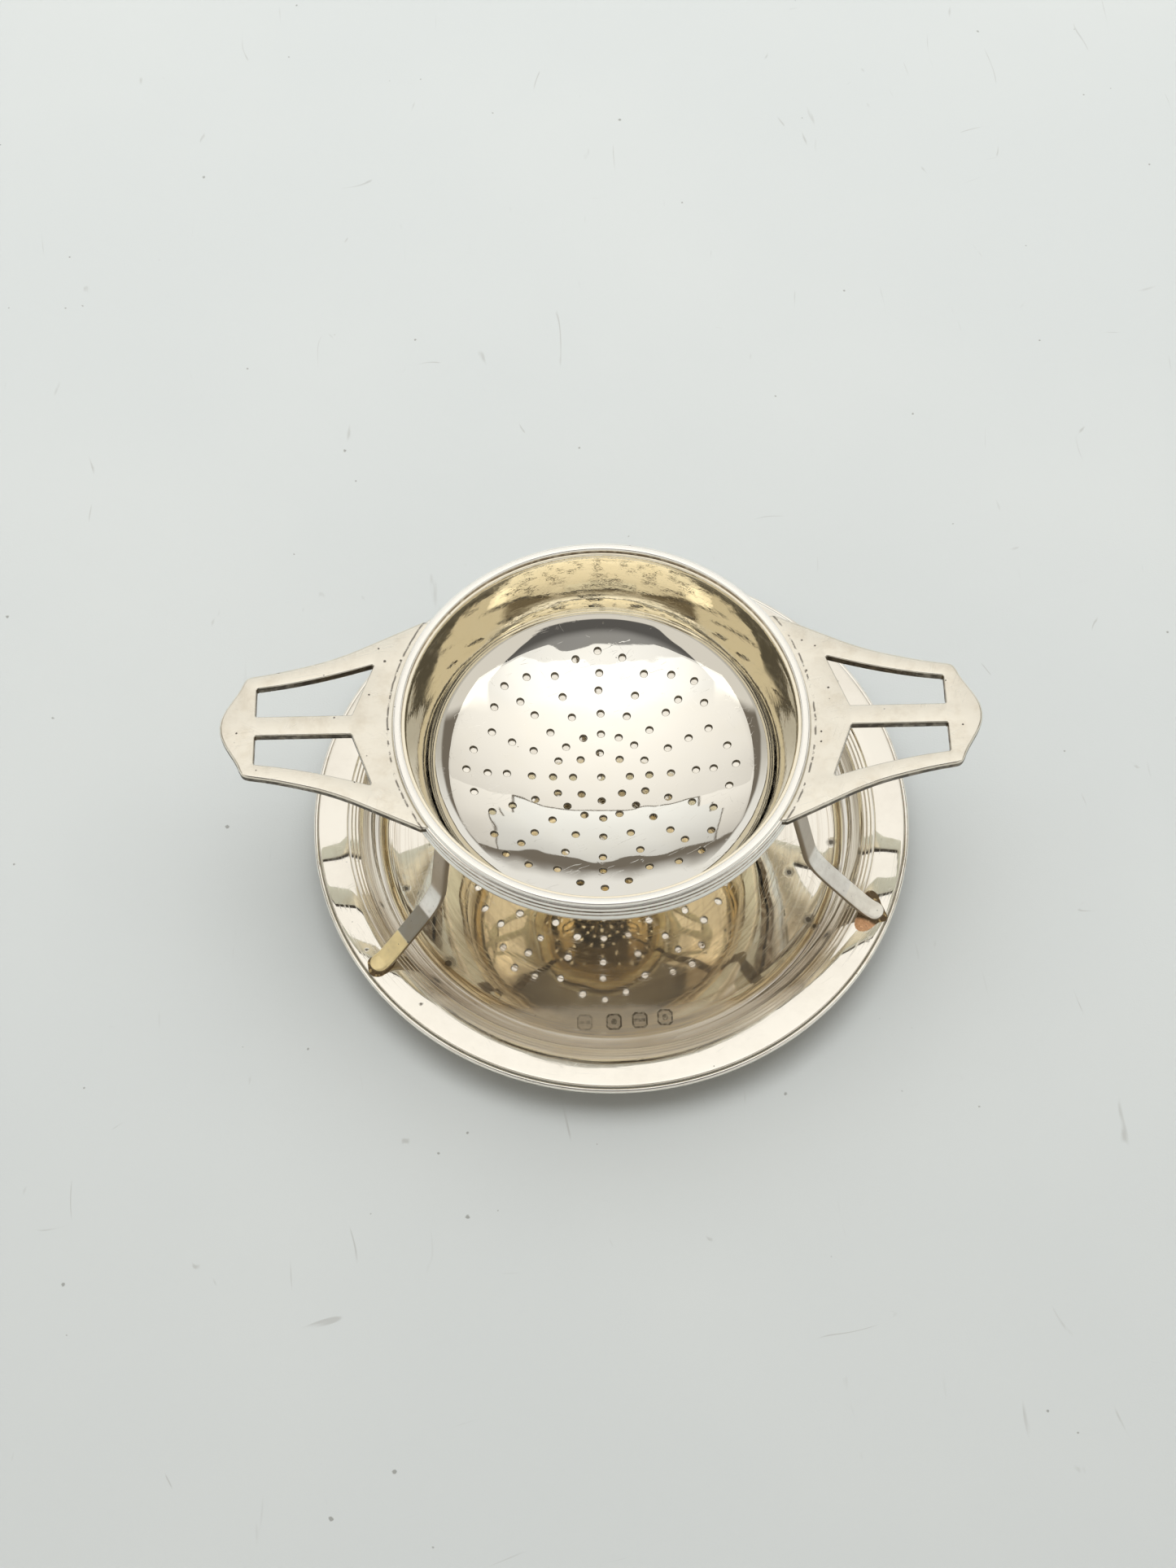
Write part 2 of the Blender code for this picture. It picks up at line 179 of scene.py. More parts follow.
def revolve(profile, count, capped):
    """Turn a (radius, z) line: a closed loop, or one whose ends are discs on the axis."""
    verts, faces = [], []
    for radius, z in profile:
        verts += ring(radius, z, count)
    last = len(profile) - 1
    for k in range(last):
        faces += bridge(k * count, (k + 1) * count, count)
    if not capped:
        faces += bridge(last * count, 0, count)
        return verts, faces
    for start, z in ((0, profile[0][1]), (last * count, profile[-1][1])):
        centre = len(verts)
        verts.append((0.0, 0.0, z))
        faces += [(start + i, start + (i + 1) % count, centre) for i in range(count)]
    return verts, faces


def spline(points, per_span):
    """Catmull-Rom curve through plan points; beyond its ends the line carries straight on."""
    n = len(points)
    out = []
    for i in range(n - 1):
        p1, p2 = Vector(points[i]), Vector(points[i + 1])
        p0 = Vector(points[i - 1]) if i > 0 else p1 * 2 - p2
        p3 = Vector(points[i + 2]) if i < n - 2 else p2 * 2 - p1
        for k in range(per_span):
            t = k / per_span
            out.append(tuple(0.5 * ((2 * p1) + (p2 - p0) * t
                                    + (2 * p0 - 5 * p1 + 4 * p2 - p3) * t * t
                                    + (3 * p1 - p0 - 3 * p2 + p3) * t ** 3)))
    out.append(tuple(points[-1]))
    return out


def arc(cx, cz, radius, start, end, steps):
    """Points of a circular arc in the (radius, z) plane, between two angles in degrees."""
    out = []
    for i in range(steps + 1):
        a = math.radians(start + (end - start) * i / steps)
        out.append((cx + radius * math.cos(a), cz + radius * math.sin(a)))
    return out


def signed_area(loop):
    """Area of a plan loop, positive when it runs counter-clockwise."""
    total = 0.0
    for i, (x1, y1) in enumerate(loop):
        x2, y2 = loop[(i + 1) % len(loop)]
        total += x1 * y2 - x2 * y1
    return 0.5 * total


def inset_loop(loop, amount):
    """Offset a counter-clockwise loop inward (a clockwise one outward)."""
    out = []
    n = len(loop)
    for i in range(n):
        p, q, r = Vector(loop[i - 1]), Vector(loop[i]), Vector(loop[(i + 1) % n])
        d1, d2 = (q - p).normalized(), (r - q).normalized()
        n1, n2 = Vector((-d1.y, d1.x)), Vector((-d2.y, d2.x))
        mitre = (n1 + n2).normalized()
        out.append(tuple(q + mitre * amount / max(0.4, mitre.dot(n1))))
    return out


def inside_loop(loop, x, y):
    """Whether a plan point lies inside a loop."""
    hit = False
    n = len(loop)
    for i in range(n):
        x1, y1 = loop[i]
        x2, y2 = loop[(i + 1) % n]
        if (y1 > y) != (y2 > y) and x < x1 + (y - y1) * (x2 - x1) / (y2 - y1):
            hit = not hit
    return hit


def fill_plan(loops, extra, inside):
    """Triangles between plan loops, steered by extra points."""
    points, edges = [], []
    for loop in loops:
        first = len(points)
        points += loop
        edges += [(first + i, first + (i + 1) % len(loop)) for i in range(len(loop))]
    points = points + extra
    result = delaunay_2d_cdt([Vector(p) for p in points], edges, [], 0, 1e-7)
    out_points, out_faces, sources = result[0], result[2], result[3]
    index = [s[0] for s in sources]
    triangles = []
    for face in out_faces:
        cx = sum(out_points[v][0] for v in face) / 3.0
        cy = sum(out_points[v][1] for v in face) / 3.0
        if inside(cx, cy):
            triangles.append(tuple(index[v] for v in face))
    return points, triangles


def round_corners(loop, radius, steps=5):
    """Turn each clear corner of a plan loop into a small curve."""
    out = []
    n = len(loop)
    for i in range(n):
        p, q, r = Vector(loop[i - 1]), Vector(loop[i]), Vector(loop[(i + 1) % n])
        d1, d2 = (p - q).normalized(), (r - q).normalized()
        turn = math.pi - d1.angle(d2)
        if turn < math.radians(20.0):
            out.append(tuple(q))
            continue
        back = radius * math.tan(turn / 2.0)
        a, b = q + d1 * back, q + d2 * back
        for k in range(steps + 1):
            t = k / steps
            out.append(tuple(a * (1 - t) ** 2 + q * 2 * t * (1 - t) + b * t * t))
    return out


# ---- the pierced cup -------------------------------------------------------------
def hole_centres():
    """Eight rays, eight rows between them, an outer pair beside each row."""
    spots = [(0.0, 0.0)]
    for k in range(8):
        ray = math.radians(45.0 * k)
        row = math.radians(45.0 * k + 22.5)
        polar = [(r, ray) for r in RAY_RADII] + [(r, row) for r in BISECTOR_RADII]
        polar += [(OUTER_PAIR_R, row + s * math.radians(OUTER_PAIR_ANGLE)) for s in (-1, 1)]
        spots += [(r * math.cos(a), r * math.sin(a)) for r, a in polar]
    hand = random.Random(11)
    return [(x + hand.uniform(-1, 1) * HAND_DRILLED, y + hand.uniform(-1, 1) * HAND_DRILLED)
            for x, y in spots]


def dish_height(radius):
    """Height of the dished floor's upper face."""
    return DISH_Z + DISH_CURVE * radius * radius


def hole_loop(centre, radius):
    """A circle of the same number of sides round each hole's centre."""
    turn = math.atan2(centre[1], centre[0])
    return [(centre[0] + radius * math.cos(turn + 2 * math.pi * i / HOLE_SIDES),
             centre[1] + radius * math.sin(turn + 2 * math.pi * i / HOLE_SIDES))
            for i in range(HOLE_SIDES)]


def build_cup():
    """The pierced floor, the tight bend and the flaring wall, as one closed sheet."""
    centres = hole_centres()
    rim = [p[:2] for p in ring(DISH_R, 0.0, AROUND)]
    loops = [rim] + [hole_loop(c, HOLE_EDGE) for c in centres]
    extra = []
    radius = FIRST_RING
    while radius < DISH_R - 0.6:
        count = max(8, int(2 * math.pi * radius / ALONG_RING))
        for i in range(count):
            a = 2 * math.pi * (i + 0.37 * (radius % 2)) / count
            p = (radius * math.cos(a), radius * math.sin(a))
            if min(math.hypot(p[0] - c[0], p[1] - c[1]) for c in centres) > HOLE_EDGE + 0.3:
                extra.append(p)
        radius += RING_GAP

    def inside(x, y):
        if math.hypot(x, y) > DISH_R:
            return False
        reach = HOLE_EDGE * math.cos(math.pi / HOLE_SIDES) * 0.999
        return all(math.hypot(x - c[0], y - c[1]) > reach for c in centres)

    plan, triangles = fill_plan(loops, extra, inside)
    count = len(plan)
    verts, faces = [], []
    for x, y in plan:
        verts.append((x, y, dish_height(math.hypot(x, y))))
    for x, y in plan:
        r = math.hypot(x, y)
        drop = DISH_SHEET * math.sqrt(1.0 + (2.0 * DISH_CURVE * r) ** 2)
        verts.append((x, y, dish_height(r) - drop))
    faces += triangles
    faces += [(c + count, b + count, a + count) for a, b, c in triangles]
    for k, centre in enumerate(centres):
        first = AROUND + k * HOLE_SIDES
        start = first
        for shrink, depth in HOLE_STEPS:
            level = len(verts)
            for x, y in hole_loop(centre, HOLE_EDGE - shrink):
                verts.append((x, y, dish_height(math.hypot(x, y)) - depth))
            faces += bridge(start, level, HOLE_SIDES)
            start = level
        faces += bridge(start, count + first, HOLE_SIDES)
    # band, bend and wall: inside going up, over the edge, outside coming down
    inner, outer = [], []
    slope = math.atan(2.0 * DISH_CURVE * DISH_R)
    r0, z0 = DISH_R, dish_height(DISH_R)
    thick = DISH_SHEET
    for radius, end, steps in ((BAND_R, math.radians(CREASE), 8),
                               (BEND_R, math.radians(WALL_ANGLE), 14)):
        cx, cz = r0 - radius * math.sin(slope), z0 + radius * math.cos(slope)
        for i in range(steps + 1):
            a = slope + (end - slope) * i / steps
            if radius == BEND_R:
                thick = DISH_SHEET + (WALL_SHEET - DISH_SHEET) * i / steps
            if inner and i == 0:
                continue
            inner.append((cx + radius * math.sin(a), cz - radius * math.cos(a)))
            outer.append((cx + (radius + thick) * math.sin(a),
                          cz - (radius + thick) * math.cos(a)))
        slope = end
        r0, z0 = inner[-1]
    thick_r = outer[-1][0] - r0 + 0.02
    for i in range(1, WALL_ROWS + 1):
        t = i / WALL_ROWS
        z = z0 + (WALL_TOP_Z - z0) * t
        r = r0 + (WALL_TOP_R - r0) * (t - WALL_FLARE * t * (1.0 - t))
        inner.append((r, z))
        outer.append((r + thick_r, z))
    top_in, top_out = inner[-1], outer[-1]
    lip = [(top_in[0] + 0.08, top_in[1] + 0.08), (top_out[0] - 0.05, top_out[1] + 0.08)]
    profile = inner[1:] + lip + list(reversed(outer))
    last = 0
    for r, z in profile:
        start = len(verts)
        verts += ring(r, z, AROUND)
        faces += bridge(last, start, AROUND)
        last = start
    faces += bridge(last, count, AROUND)
    return verts, faces


def set_dish_normals(obj):
    """Exact normals on the curved floor, so that its reflections run smoothly past the holes."""
    mesh = obj.data
    normals = [tuple(n.vector) for n in mesh.corner_normals]
    for poly in mesh.polygons:
        up = poly.normal.z
        centre = poly.center
        r = math.hypot(centre.x / MM - STRAINER_X, centre.y / MM)
        if abs(up) < 0.9 or r > DISH_R:
            continue
        on_floor = True
        for v in poly.vertices:
            co = mesh.vertices[v].co / MM
            rv = math.hypot(co.x - STRAINER_X, co.y)
            drop = 0.0 if up > 0 else DISH_SHEET * math.sqrt(1 + (2 * DISH_CURVE * rv) ** 2)
            if abs(co.z - (dish_height(rv) - drop)) > 0.004:
                on_floor = False
        if not on_floor:
            continue
        for corner in poly.loop_indices:
            co = mesh.vertices[mesh.loops[corner].vertex_index].co / MM
            x, y = co.x - STRAINER_X, co.y
            n = Vector((-2 * DISH_CURVE * x, -2 * DISH_CURVE * y, 1.0)).normalized()
            normals[corner] = tuple(n if up > 0 else -n)
    mesh.normals_split_custom_set(normals)


# ---- the rim moulding ------------------------------------------------------------
def moulding_profile():
    """Rounded top band, then three reeds with narrow grooves between them."""
    top = RIM_TOP
    points = [(WALL_TOP_R + 0.42, top - 0.95)]
    points += arc(30.72, top - 0.4, 0.38, 180, 105, 6)
    points += [(31.0, top), (31.2, top - 0.01)]
    points += arc(31.3, top - 0.44, 0.42, 80, -8, 8)
    points.append((31.68, top - 0.78))
    for upper, lower, swell in REEDS:
        middle, half = 0.5 * (upper + lower), 0.5 * (lower - upper)
        reach = RIM_R - 0.2 + swell
        points.append((reach - 0.42, top - upper - 0.03))
        for i in range(11):
            a = math.radians(80 - 160 * i / 10)
            points.append((reach - REED_R + REED_R * math.cos(a),
                           top - middle + (half - 0.06) * math.sin(a)))
    points += [(RIM_R - 0.5, top - 4.5), (RIM_R - 0.9, SEAT_Z), (29.55, SEAT_Z),
               (29.45, SEAT_Z + 0.1)]
    return points


# ---- handles ---------------------------------------------------------------------
def build_handle(side):
    """A flat plate with two openings and softly rounded edges; side is -1 left, 1 right."""
    root = math.atan2(HANDLE_EDGE[0][1], HANDLE_EDGE[0][0])
    upper = spline(HANDLE_EDGE, 6)
    start = (HANDLE_ROOT_R * math.cos(root), HANDLE_ROOT_R * math.sin(root))
    outline = [start] + upper[1:]
    mirrored = [(x, -y) for x, y in reversed(outline)][1:]
    outline = outline + mirrored
    for i in range(1, 36):
        a = -root + 2 * root * i / 36
        outline.append((HANDLE_ROOT_R * math.cos(a), HANDLE_ROOT_R * math.sin(a)))
    bow = spline(OPENING_BOW, 6)
    opening = [(OPENING_BOW[0][0], OPENING_BAR)] + bow + [(OPENING_INNER_X, OPENING_BAR)]
    opening = round_corners(opening, 0.3)
    holes = [opening, [(x, -y) for x, y in opening]]
    if side < 0:
        outline = [(-x, y) for x, y in outline]
        holes = [[(-x, y) for x, y in h] for h in holes]
    if signed_area(outline) < 0:
        outline = list(reversed(outline))
    holes = [list(reversed(h)) if signed_area(h) > 0 else h for h in holes]
    loops = [outline] + holes
    rounds = [EDGE_ROUND] + [OPENING_ROUND] * len(holes)
    levels = []
    for k in range(ROUND_ROWS + 1):
        a = math.radians(90 - 90 // ROUND_ROWS * k)
        levels.append((1 - math.cos(a), 1 - math.sin(a)))
    inner = [inset_loop(loop, size) for loop, size in zip(loops, rounds)]

    def inside(x, y):
        return inside_loop(inner[0], x, y) and not any(inside_loop(h, x, y)
                                                       for h in inner[1:])

    plan, triangles = fill_plan(inner, [], inside)
    n = len(plan)
    verts = [(x, y, HANDLE_TOP) for x, y in plan]
    stack = []
    for inset, depth in levels[1:]:
        stack.append((inset, lambda size, d=depth: HANDLE_TOP - d * size))
    for inset, depth in reversed(levels[1:]):
        stack.append((inset, lambda size, d=depth: HANDLE_BOTTOM + d * size))
    for inset, height in stack:
        for loop, size in zip(loops, rounds):
            for x, y in inset_loop(loop, inset * size):
                verts.append((x, y, height(size)))
    verts += [(x, y, HANDLE_BOTTOM) for x, y in plan]
    rows = len(stack) + 2
    faces = list(triangles)
    faces += [tuple(v + (rows - 1) * n for v in reversed(t)) for t in triangles]
    first = 0
    for loop in loops:
        for level in range(rows - 1):
            faces += bridge(first + level * n, first + (level + 1) * n, len(loop))
        first += len(loop)
    return verts, faces


# ---- the stand -------------------------------------------------------------------
def bowl_profile():
    """Floor, curved wall, fine turned steps and flange on top; the underside comes back."""
    floor = BOWL_FLOOR
    top = [(6.0, floor), (14.0, floor), (22.0, floor), (28.0, floor), (32.5, floor),
           (35.0, floor)]
    wall = [(35.9, floor + 0.02), (36.9, floor + 0.2), (38.2, 1.75), (39.4, 3.0),
            (40.3, 4.4), (40.85, 5.6)]
    top += spline(wall, 8)
    radius, z = 40.95, 5.85
    for _ in range(TURNED_STEPS):
        top += arc(radius + 0.2, z, 0.2, 180, 90, 4)
        top += [(radius + 0.4, z + 0.19), (radius + 0.5, z + 0.2)]
        radius += STEP_WIDTH
        z += STEP_RISE
    top += arc(radius + 0.3, FLANGE_TOP - 0.24, 0.22, 178, 92, 5)
    top += [(44.2, FLANGE_TOP - 0.006), (45.6, FLANGE_TOP), (47.0, FLANGE_TOP - 0.01)]
    top += arc(47.36, FLANGE_TOP - 0.24, 0.22, 88, -40, 8)
    under = [(46.7, FLANGE_TOP - 1.0), (43.5, FLANGE_TOP - 1.05), (42.4, 5.5),
             (41.4, 4.0), (40.2, 2.45), (38.7, 1.1), (36.7, 0.25), (35.0, 0.02),
             (34.2, 0.0), (20.0, 0.0), (6.0, 0.0)]
    return top + under


def wire_profile():
    """Round section of the wire along the flange's outer edge."""
    points = []
    for i in range(EDGE_WIRE_SIDES):
        a = 2 * math.pi * i / EDGE_WIRE_SIDES
        points.append((STAND_R - EDGE_WIRE_R + EDGE_WIRE_R * math.cos(a),
                       FLANGE_TOP - EDGE_WIRE_DROP + EDGE_WIRE_R * math.sin(a)))
    return points


def arm_line(which):
    """Middle line of one strap in its own (radius, z) plane, foot first."""
    foot_z = FLANGE_TOP + 0.5 * ARM_THICK + FOOT_GAP
    top_r, top_z = ARM_TOP_R[which], SEAT_Z + TIP_SINK
    points = [(FOOT_TIP_R, foot_z), (46.0, foot_z + 0.02), (45.3, foot_z + 0.08),
              (44.4, foot_z + 0.4), (43.3, foot_z + 1.15), (41.3, foot_z + 2.85),
              (39.0, 12.45), (36.9, 14.35), (35.5, 15.8), (34.4, 17.3), (33.65, 18.9),
              (33.2, 20.6)]
    last_r, last_z = points[-1]
    points += [(last_r + (top_r - last_r) * t, last_z + (top_z - last_z) * t)
               for t in (0.35, 0.7)] + [(top_r, top_z)]
    return spline(points, 5)


def build_arm(which):
    """A strap with a round foot and softly rounded edges, bent by hand."""
    angle = math.radians(ARM_ANGLES[which])
    out = Vector((math.cos(angle), math.sin(angle), 0.0))
    side = Vector((-math.sin(angle), math.cos(angle), 0.0))
    line = [out * r + Vector((0, 0, z)) for r, z in arm_line(which)]
    extra = [line[0] + (line[1] - line[0]) * t for t in (0.0, 0.04, 0.12, 0.3, 0.6)]
    line = extra + line[1:]
    verts, faces = [], []
    distance = 0.0
    sides = ARM_SIDES
    for i, p in enumerate(line):
        if i:
            distance += (p - line[i - 1]).length
        ahead, behind = line[min(i + 1, len(line) - 1)], line[max(i - 1, 0)]
        along = (ahead - behind).normalized()
        up = side.cross(along).normalized()
        if up.dot(out + Vector((0, 0, 1.0))) < 0:
            up = -up
        full = 0.5 * ARM_WIDTH
        w = full if distance >= full else math.sqrt(
            max(0.01, full * full - (full - distance) ** 2))
        t = 0.5 * ARM_THICK
        for k in range(sides):
            a = 2 * math.pi * (k + 0.5) / sides
            c, s = math.cos(a), math.sin(a)
            power = 0.5 if s > 0 else 0.32
            x = w * math.copysign(abs(c) ** (0.3 if s > 0 else 0.22), c)
            z = t * math.copysign(abs(s) ** power, s)
            verts.append(tuple(p + side * x + up * z))
    for i in range(len(line) - 1):
        faces += bridge(i * sides, (i + 1) * sides, sides)
    faces.append(tuple(range(sides)))
    faces.append(tuple(reversed(range((len(line) - 1) * sides, len(line) * sides))))
    return verts, faces


def build_solder(which):
    """An uneven fillet of solder round the foot of one arm."""
    angle = math.radians(ARM_ANGLES[which])
    out = Vector((math.cos(angle), math.sin(angle), 0.0))
    side = Vector((-math.sin(angle), math.cos(angle), 0.0))
    lump = random.Random(sum(map(ord, which)))
    rings, sides = SOLDER_RINGS, SOLDER_SIDES
    centre_r = FOOT_TIP_R - 0.5 * ARM_WIDTH - 0.2
    phase = [lump.uniform(0, 2 * math.pi) for _ in range(5)]
    verts, faces = [], []
    for k in range(rings):
        f = k / (rings - 1)
        for i in range(sides):
            a = 2 * math.pi * i / sides
            wobble = sum(math.sin((n + 2) * a + phase[n]) / (n + 2) for n in range(5))
            reach = 1.2 + f * (0.78 + 0.25 * wobble)
            swell = 0.0
            for at, size in SOLDER_LUMPS[which]:
                turn = (a - math.radians(at) + math.pi) % (2 * math.pi) - math.pi
                swell += size * math.exp(-(turn / 0.5) ** 2)
            reach += f * swell
            height = FLANGE_TOP + 0.62 * (1 - f) ** max(0.55, 1.8 - 0.7 * swell) - 0.02
            x = out * (centre_r + reach * 1.18 * math.cos(a))
            verts.append(tuple(x + side * reach * 1.05 * math.sin(a)
                               + Vector((0, 0, height))))
    base = len(verts)
    for i in range(sides):
        x, y, _ = verts[(rings - 1) * sides + i]
        verts.append((x, y, FLANGE_TOP - 0.25))
    for k in range(rings):
        faces += bridge(k * sides, (k + 1) * sides, sides)
    faces.append(tuple(range(sides)))
    faces.append(tuple(reversed(range(base, base + sides))))
    return verts, faces


# ---- materials -------------------------------------------------------------------
# colours as (red, green, blue)
# near-black for pitting; it is also the painted shade in the cup's hole bores and on the handles'
# upright edges
PIT_AND_SHADE_BLACK = (0.05, 0.04, 0.03)
CUP_SILVER, CUP_GILT, CUP_UNDER = (0.94, 0.915, 0.84), (0.925, 0.85, 0.665), (0.84, 0.70, 0.43)
MOULDING_SILVER, GROOVE_DIRT = (0.95, 0.93, 0.87), (0.22, 0.16, 0.10)
HANDLE_SILVER, HANDLE_VEIL = (0.875, 0.838, 0.735), (0.56, 0.46, 0.31)
# very dark brown: painted shade on the handles' upright edges and the walls of their openings
HANDLE_SIDE_SHADE = (0.16, 0.12, 0.07)
BOWL_SILVER, BOWL_TARNISH = (0.93, 0.90, 0.82), (0.38, 0.29, 0.18)
BOWL_FRONT_FILM = (0.55, 0.46, 0.33)
WIRE_SILVER, WIRE_TARNISH = (0.94, 0.92, 0.85), (0.55, 0.43, 0.28)
ARM_SILVER, ARM_GREY, ARM_YELLOW = (0.96, 0.94, 0.88), (0.24, 0.22, 0.17), (0.90, 0.72, 0.34)
# dark brown: the straps' tarnish veil, and painted shade on their sides and undersides
ARM_DIRT_AND_SHADE = (0.26, 0.19, 0.11)
SOLDER_CLEAN = {"left": (0.16, 0.11, 0.06), "right": (0.80, 0.46, 0.25),
                "back": (0.36, 0.25, 0.14)}
# dark burnt colour: the crust on the solder's far side, and painted shadow beside the strap
SOLDER_BURNT_AND_SHADOW, SOLDER_GOLD = (0.13, 0.085, 0.04), (0.62, 0.46, 0.22)
SOLDER_RUST = (0.3, 0.13, 0.06)
ARM_ROUGHNESS = {"left": 0.3, "right": 0.36, "back": 0.3}
ARM_STAINED = {"left": 1.0, "right": 0.12, "back": 0.4}
FLOOR_COOL, FLOOR_WARM = (0.56, 0.583, 0.578), (0.577, 0.598, 0.59)
FLOOR_GRAIN = (0.59, 0.597, 0.587)
FLOOR_SPECK, FLOOR_LINE, FLOOR_GLOW = (0.22, 0.22, 0.2), (0.36, 0.36, 0.34), (0.93, 0.95, 0.94)


class Nodes:
    """A short way to write the nodes of one tree."""

    def __init__(self, tree):
        self.tree = tree

    def put(self, socket, value):
        if isinstance(value, bpy.types.NodeSocket):
            self.tree.links.new(value, socket)
        elif isinstance(value, tuple) and socket.type == "RGBA" and len(value) == 3:
            socket.default_value = (*value, 1.0)
        else:
            socket.default_value = value

    def math(self, operation, a, b=0.5, clamp=False):
        node = self.tree.nodes.new("ShaderNodeMath")
        node.operation, node.use_clamp = operation, clamp
        self.put(node.inputs[0], a)
        self.put(node.inputs[1], b)
        return node.outputs[0]

    def add(self, a, b):
        return self.math("ADD", a, b)

    def sub(self, a, b):
        return self.math("SUBTRACT", a, b)

    def mul(self, a, b):
        return self.math("MULTIPLY", a, b)

    def top(self, a, b):
        return self.math("MAXIMUM", a, b)

    def flip(self, a):
        return self.math("SUBTRACT", 1.0, a)

    def step(self, value, low, high, to_low=0.0, to_high=1.0):
        """A smooth step from to_low to to_high while value goes from low to high."""
        node = self.tree.nodes.new("ShaderNodeMapRange")
        node.interpolation_type = "SMOOTHSTEP"
        for socket, number in zip(node.inputs, (value, low, high, to_low, to_high)):
            self.put(socket, number)
        return node.outputs[0]

    def vector(self, x, y, z):
        node = self.tree.nodes.new("ShaderNodeCombineXYZ")
        for socket, number in zip(node.inputs, (x, y, z)):
            self.put(socket, number)
        return node.outputs[0]

    def noise(self, vector, scale=1.0, detail=2.0, rough=0.5, distort=0.0):
        node = self.tree.nodes.new("ShaderNodeTexNoise")
        self.put(node.inputs["Vector"], vector)
        self.put(node.inputs["Scale"], scale)
        self.put(node.inputs["Detail"], detail)
        self.put(node.inputs["Roughness"], rough)
        self.put(node.inputs["Distortion"], distort)
        return node.outputs[0]

    def cells(self, vector, scale=1.0):
        """Distance to the nearest scattered point, and that point's own random number."""
        node = self.tree.nodes.new("ShaderNodeTexVoronoi")
        self.put(node.inputs["Vector"], vector)
        self.put(node.inputs["Scale"], scale)
        split = self.tree.nodes.new("ShaderNodeSeparateColor")
        self.put(split.inputs[0], node.outputs["Color"])
        return node.outputs["Distance"], split.outputs[0]

    def mix(self, factor, a, b):
        node = self.tree.nodes.new("ShaderNodeMix")
        node.data_type = "RGBA"
        self.put(node.inputs[0], factor)
        self.put(node.inputs[6], a)
        self.put(node.inputs[7], b)
        return node.outputs[2]

    def place(self, centre_x=0.0):
        """Row-frame coordinates in mm, with their polar form about a vertical line."""
        coords = self.tree.nodes.new("ShaderNodeTexCoord")
        split = self.tree.nodes.new("ShaderNodeSeparateXYZ")
        self.put(split.inputs[0], coords.outputs["Object"])
        x = self.sub(self.mul(split.outputs[0], 1000.0), centre_x)
        y = self.mul(split.outputs[1], 1000.0)
        z = self.mul(split.outputs[2], 1000.0)
        r = self.math("SQRT", self.add(self.mul(x, x), self.mul(y, y)))
        safe = self.top(r, 0.01)
        return {"x": x, "y": y, "z": z, "r": r, "out": self.add(r, z),
                "at": self.vector(x, y, z),
                "c": self.math("DIVIDE", x, safe), "s": self.math("DIVIDE", y, safe)}

    def scattered(self, p, density, size, share, seed):
        """Small round marks: 1 in the middle of a mark, 0 between the marks."""
        where = self.vector(self.add(p["x"], seed), p["y"], p["z"])
        near, own = self.cells(where, density)
        spread = self.noise(where, 2.2, 1.0)
        near = self.add(near, self.mul(self.sub(spread, 0.5), size * density))
        spot = self.step(near, 0.55 * size * density, size * density, 1.0, 0.0)
        return self.mul(spot, self.step(own, 1.0 - share, 1.001 - share))

    def hairlines(self, p, angle, width, share, seed, length=0.085, across=0.9):
        """Fine scratches that run one way, broken up along their length."""
        a = math.radians(angle)
        u = self.add(self.mul(p["x"], math.cos(a)), self.mul(p["y"], math.sin(a)))
        v = self.sub(self.mul(p["y"], math.cos(a)), self.mul(p["x"], math.sin(a)))
        lay = self.vector(self.mul(u, length), self.mul(v, across),
                          self.add(self.mul(p["z"], across), seed))
        bands = self.math("ABSOLUTE", self.sub(self.noise(lay, 1.0, 1.5, 0.55), 0.5))
        thin = self.step(bands, 0.25 * width, width, 1.0, 0.0)
        broken = self.noise(self.vector(self.mul(u, 2.6 * length), self.mul(v, 0.35),
                                        self.add(p["z"], seed + 4.0)), 1.0, 2.0)
        return self.mul(thin, self.step(broken, 1.0 - share, 1.1 - share))

    def turned(self, p, fine, around=1.6, detail=4.0, seed=0.0):
        """Marks of the lathe and of round-and-round wiping."""
        lay = self.vector(self.mul(p["c"], around), self.mul(p["s"], around),
                          self.add(self.mul(p["out"], fine), seed))
        return self.noise(lay, 1.0, detail, 0.62)

    def bump(self, height, distance, normal=None):
        node = self.tree.nodes.new("ShaderNodeBump")
        self.put(node.inputs["Strength"], 1.0)
        self.put(node.inputs["Distance"], distance * MM)
        self.put(node.inputs["Height"], height)
        if normal is not None:
            self.put(node.inputs["Normal"], normal)
        return node.outputs[0]

    def facing(self):
        """Height of the surface's normal: 1 faces up, 0 is upright, -1 faces down."""
        geometry = self.tree.nodes.new("ShaderNodeNewGeometry")
        split = self.tree.nodes.new("ShaderNodeSeparateXYZ")
        self.put(split.inputs[0], geometry.outputs["Normal"])
        return split.outputs[2]


class Graph(Nodes):
    """The nodes of one material, around one Principled shader."""

    def __init__(self, name):
        self.material = bpy.data.materials.new(name)
        self.material.use_nodes = True
        super().__init__(self.material.node_tree)
        self.tree.nodes.clear()
        out = self.tree.nodes.new("ShaderNodeOutputMaterial")
        self.shader = self.tree.nodes.new("ShaderNodeBsdfPrincipled")
        self.tree.links.new(self.shader.outputs[0], out.inputs[0])

    def set(self, **values):
        for name, value in values.items():
            self.put(self.shader.inputs[name.replace("_", " ")], value)


def flatness(g):
    """How level the surface is: 1 on a table top or its underside, 0 on a wall."""
    return g.math("ABSOLUTE", g.facing())


def facing_down(g):
    """1 where the surface faces down, 0 where it faces sideways or up."""
    return g.step(g.facing(), -0.5, 0.1, 1.0, 0.0)


